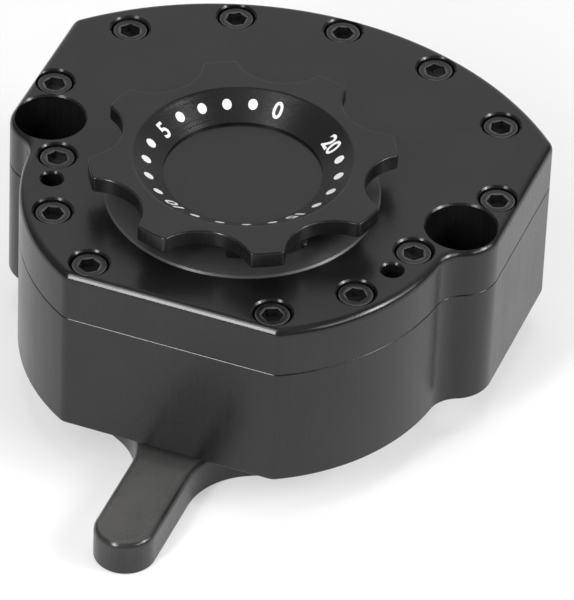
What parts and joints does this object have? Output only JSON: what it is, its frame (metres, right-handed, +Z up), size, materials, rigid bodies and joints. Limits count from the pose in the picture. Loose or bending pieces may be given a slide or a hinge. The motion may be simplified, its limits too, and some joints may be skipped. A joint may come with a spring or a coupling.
{
  "type": "motorcycle steering damper",
  "caption": "Black rotary steering damper with a lobed setting dial on top and a swinging arm below.",
  "frame": {"origin": "midpoint between the two mounting holes, on the flat mounting face under the housing", "axes": "+Z up along the shaft towards the dial, +Y towards the wide curved back, so the steering arm points along -Y; the shaft axis is 6.5 mm in front of the origin"},
  "size_m": [0.1026, 0.1257, 0.0555],
  "materials": {
    "anodised_body": "satin black anodised, machined",
    "anodised_dial": "fine satin black anodised",
    "anodised_arm": "satin black anodised, a little worn",
    "black_steel": "black oxide",
    "bright_steel": "ground",
    "bronze": "plain turned bronze",
    "seal_rubber": "matt"
  },
  "bodies": {
    "case": {"housing": "anodised_body", "cover": "anodised_body", "cover_seal": "seal_rubber", "cover_dowels": "bright_steel", "cover_screws": "black_steel", "fill_plug": "black_steel", "fill_plug_seal": "seal_rubber", "lower_bush": "bronze", "upper_bush": "bronze", "lower_thrust_washer": "bronze", "upper_thrust_washer": "bronze", "shaft_seal": "seal_rubber", "seal_clip": "black_steel", "dial_plate": "anodised_dial", "dial_stop_pin": "black_steel", "detent_spring": "bright_steel"},
    "rotor": {"vane_rotor": "bright_steel", "vane_seal": "seal_rubber", "steering_arm": "anodised_arm", "arm_washer": "bright_steel", "arm_screw": "black_steel"},
    "dial": {"dial_knob": "anodised_dial", "dial_grub_screws": "black_steel", "valve_spool": "bright_steel", "stem_seal": "seal_rubber"},
    "detent": {"detent_ball": "bright_steel"}
  },
  "joints": [
    {"name": "arm_swing", "type": "hinge", "parent": "case", "child": "rotor", "pos_m": [0, -0.0065, 0], "axis": [0, 0, 1], "range_deg": [-43, 43]},
    {"name": "dial_turn", "type": "hinge", "parent": "case", "child": "dial", "pos_m": [0, -0.0065, 0], "axis": [0, 0, -1], "range_deg": [0, 313.04]},
    {"name": "detent_click", "type": "slide", "parent": "case", "child": "detent", "axis": [0, 0, 1], "range_m": [0, 0.0006], "stiffness_N_per_m": 500, "springref_m": 0.0006, "deforming": ["detent_spring"]}
  ]
}
